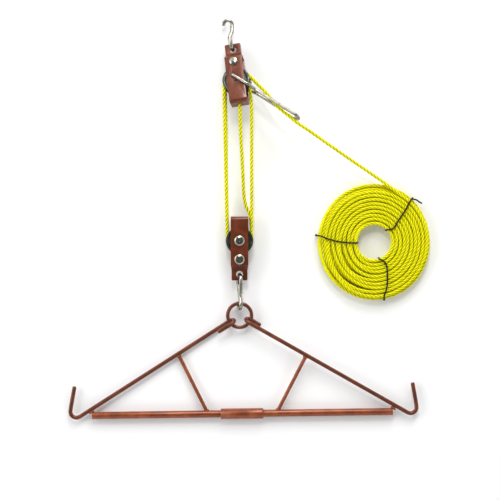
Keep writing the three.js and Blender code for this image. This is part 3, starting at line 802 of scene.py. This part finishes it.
def make_top_hook():
    """The upper S-hook: one loop through the strap's hole, an open one to hang from."""
    across = Vector((-math.sin(0.3), 0, math.cos(0.3)))
    up = Vector((-math.sin(rad(UPPER_TILT)), math.cos(rad(UPPER_TILT)), 0))
    points = arc(on_upper(0, HOOK_HOLE_Y + 10.7, 0), across, up, 9.6, 172, 366, 14)
    points += [Vector((-24, 314, 20)), Vector((-20.2, 325, 15.4))]
    points += arc((-27.3, 337.8, 12), (1, 0, 0), (0, 1, 0), 7.5, -10, 198, 12)
    return rod("top_s_hook", smooth(points, 1.0), WIRE_RADIUS, ZINC, sides=24)


def make_lower_hook():
    """The lower S-hook: one loop through the strap's hole, one round the ring."""
    edge = Vector((math.sin(rad(HOOK_TURN)), 0, math.cos(rad(HOOK_TURN))))
    up = Vector((0, 1, 0))
    x, y, z = LOWER_AXLE
    top = Vector((x, y - HOOK_HOLE_Y - 11.6, z))
    points = [top + 10 * edge - HOOK_END_LENGTH * up]
    points += arc(top, edge, up, HOOK_LOOP_RADIUS, 0, 195, 14)
    points += arc((RING_CENTRE.x, -145.2, 14.6), edge, up, HOOK_LOOP_RADIUS, -15, -195, 14)
    return rod("lower_s_hook", smooth(points, 1.0), WIRE_RADIUS, ZINC, sides=24)


belongs(make_bail(), "bail", "rope_lock_bail")
belongs(make_top_hook(), "top_hook", "top_hook")
belongs(make_lower_hook(), "lower_hook", "lower_hook")


# ---- ring and gambrel ----

def make_ring():
    """A ring of round bar, its butt weld standing a little proud."""
    weld_angle, weld_width, proud = 62, 4, 0.1

    def wire_at(angle):
        away = math.degrees(angle) - weld_angle
        return RING_WIRE_RADIUS * (1 + proud * math.exp(-(away / weld_width) ** 2))

    bm = bmesh.new()
    skin(bm, hoop(bm, Matrix.Translation(RING_CENTRE), RING_RADIUS, 120, 20, wire_at), closed=True)
    return object_of("ring", bm, PAINT, 60)


def arm_route(sign, eye, bend, tail, point, **_):
    """The rod's points, from its tail round its eye, along the arm, and round the hook to its tip."""
    turn = rad(eye)
    wire = RING_CENTRE + RING_RADIUS * Vector((math.cos(turn), math.sin(turn), 0))
    to_bend = Vector((bend[0] - wire.x, bend[1] - wire.y, 0))
    heading = math.atan2(to_bend.y, to_bend.x) - sign * math.asin(HOOK_BEND_RADIUS / to_bend.length)
    along = Vector((math.cos(heading), math.sin(heading), 0))
    upward = sign * Vector((-along.y, along.x, 0))
    lift = sign * (Vector((0, 0, math.cos(rad(EYE_TILT)))) - math.sin(rad(EYE_TILT)) * upward)
    start = wire + EYE_RADIUS * lift
    centre = Vector((*bend, ARM_Z))
    meets = centre + sign * HOOK_BEND_RADIUS * Vector((along.y, -along.x, 0))
    final = math.pi / 2 + sign * rad(HOOK_LEAN)
    sweep = final - heading - (0 if sign > 0 else 2 * math.pi)
    hook = []
    for i in range(9):
        t = heading + sweep * i / 8
        hook.append(centre + sign * HOOK_BEND_RADIUS * Vector((math.sin(t), -math.cos(t), 0)))
    tip = hook[-1] + point * Vector((math.cos(final), math.sin(final), 0))
    loop = arc(wire, -along, lift, EYE_RADIUS, -90, 90, 8)
    tail_end = wire - EYE_RADIUS * lift + tail * along
    run = [start.lerp(meets, t) for t in (0.03, 0.25, 0.5, 0.75, 0.97)]
    return [tail_end, *loop, *run, *hook, tip], start, meets


def on_tube(x):
    return TUBE_LEFT + TUBE_AXIS * ((x - TUBE_LEFT.x) / TUBE_AXIS.x)


def make_gambrel_half(name, spec):
    """One arm with its spreader, its brace and their welds."""
    route, start, meets = arm_route(**spec)
    body = f"{name}_half"
    belongs(rod(f"{name}_arm_rod", smooth(route, 1.5), ROD_RADIUS, PAINT, round_end=0.5), body, f"{name}_arm")
    belongs(eased(f"{name}_spreader", f"{name}_tube", BAR_PAINT, 0.25), body, f"{name}_tube")
    top = start.lerp(meets, (spec["brace"][0] - start.x) / (meets.x - start.x))
    foot = on_tube(spec["brace"][1])
    way = (foot - top).normalized()
    bar = resample(np.array([tuple(top + 2.2 * way), tuple(foot - 5.4 * way)]), 2)
    belongs(rod(f"{name}_brace_bar", bar, BRACE_RADIUS, BAR_PAINT, round_end=0.2), body, f"{name}_brace")
    bead_radius = BRACE_RADIUS + 0.35
    ring_bead(f"{name}_weld_top", top + 3.6 * way, way, bead_radius, body, 1.3)
    ring_bead(f"{name}_weld_foot", foot - 6.4 * way, way, bead_radius, body, 4.1)
    end_weld(name, spec, meets, start, body)


def ring_bead(name, centre, way, radius, body, seed):
    """A fillet of weld round the end of a bar."""
    side = way.orthogonal().normalized()
    loop = arc(centre, side, way.cross(side), radius, 0, 356, 24)
    belongs(bead(name, loop, 1.25, BAR_PAINT, seed), body)


def end_weld(name, spec, meets, start, body):
    """The weld in the corner between the spreader's outer end and the arm, above and below."""
    outer = TUBE_LEFT if spec["sign"] < 0 else TUBE_RIGHT
    along = (meets - start).normalized()
    foot = start + along * (outer - start).dot(along)
    toward = (foot - outer).normalized()
    for k, z in enumerate((3.0, -3.0)):
        path = [outer + toward * 5.4 - along * 7 + Vector((0, 0, z)),
                outer + toward * 5.8 - along * 2 + Vector((0, 0, z)),
                outer + toward * 5.6 + along * 2.5 + Vector((0, 0, 0.8 * z))]
        belongs(bead(f"{name}_weld_end_{k + 1}", path, 1.9, BAR_PAINT, 7.7 + k), body)


belongs(make_ring(), "ring", "hanging_ring")
for side_name, side_spec in SIDES.items():
    make_gambrel_half(side_name, side_spec)


def along_tube(x):
    """The place on the spreader line at x, with Z along the line."""
    turn = TUBE_AXIS.to_track_quat("Z", "Y").to_matrix().to_4x4()
    return Matrix.Translation(on_tube(x)) @ turn


def make_sleeve():
    """The lock sleeve, a plain tube with its right end rolled in."""
    profile = [(SLEEVE_BORE, 0.4), (SLEEVE_BORE + 0.4, 0), (SLEEVE_RADIUS - 0.5, 0), (SLEEVE_RADIUS, 0.5)]
    rolled = SLEEVE_LENGTH - 3.2
    for i in range(8):
        t = rad(90 * i / 7)
        profile.append((SLEEVE_RADIUS - 2.0 * (1 - math.cos(t)), rolled + 3.2 * math.sin(t)))
    profile += [(SLEEVE_BORE, SLEEVE_LENGTH)]
    return turned("sleeve", profile, BAR_PAINT, along_tube(SLEEVE_LEFT_X), 64, 45)


def make_tube_end():
    """The right spreader's end, which shows in the sleeve's mouth and meets the left spreader."""
    profile = [(4.95, 0), (6.3, 0), (6.3, 2.2), (4.95, 2.2)]
    return turned("right_spreader_end", profile, BAR_PAINT, along_tube(SLEEVE_LEFT_X - 1.2), 48)


belongs(make_sleeve(), "sleeve", "lock_sleeve")
belongs(make_tube_end(), "right_half")


# ---- floor and light ----

WORLD_STRENGTH = 1.35
WORLD_BRIGHTNESS = [(0.02, 0.04), (0.35, 1), (0.64, 1), (0.82, 0.1)]  # by the sine of the elevation


def make_floor():
    bpy.ops.mesh.primitive_plane_add(size=9, location=(0, 0, -0.0003))
    floor = bpy.context.object
    floor.name = "floor"
    n = Nodes("pale_floor")
    n.set(Base_Color=(0.93, 0.93, 0.93, 1), Roughness=0.9)
    floor.data.materials.append(n.material)


def make_light(name, location, size, energy):
    data = bpy.data.lights.new(name, "AREA")
    data.shape = "SQUARE"
    data.size = size
    data.energy = energy
    light = bpy.data.objects.new(name, data)
    light.location = location
    light.rotation_euler = (Vector((0, 0, 0)) - Vector(location)).to_track_quat("-Z", "Y").to_euler()
    bpy.context.scene.collection.objects.link(light)


def make_world():
    """A bright ceiling over darker walls, with a dark patch overhead for the metals to reflect."""
    world = bpy.data.worlds.new("world")
    world.use_nodes = True
    tree = world.node_tree
    background = tree.nodes["Background"]
    background.inputs["Strength"].default_value = WORLD_STRENGTH
    way = tree.nodes.new("ShaderNodeTexCoord")
    split = tree.nodes.new("ShaderNodeSeparateXYZ")
    ramp = tree.nodes.new("ShaderNodeValToRGB")
    tree.links.new(way.outputs["Generated"], split.inputs["Vector"])
    tree.links.new(split.outputs["Z"], ramp.inputs["Fac"])
    tree.links.new(ramp.outputs["Color"], background.inputs["Color"])
    stops = ramp.color_ramp.elements
    while len(stops) < len(WORLD_BRIGHTNESS):
        stops.new(0.5)
    for stop, (height, value) in zip(stops, WORLD_BRIGHTNESS):
        stop.position = height
        stop.color = (value, value, value, 1)
    bpy.context.scene.world = world


make_floor()
make_world()
make_light("key", (0.4, 2.3, 1.5), 1.2, 34)
make_light("fill", (-2.2, 0.6, 1.5), 1.6, 20)
make_light("top", (-0.1, 1.45, 2.0), 0.36, 13)
bpy.context.scene.view_settings.view_transform = "Standard"
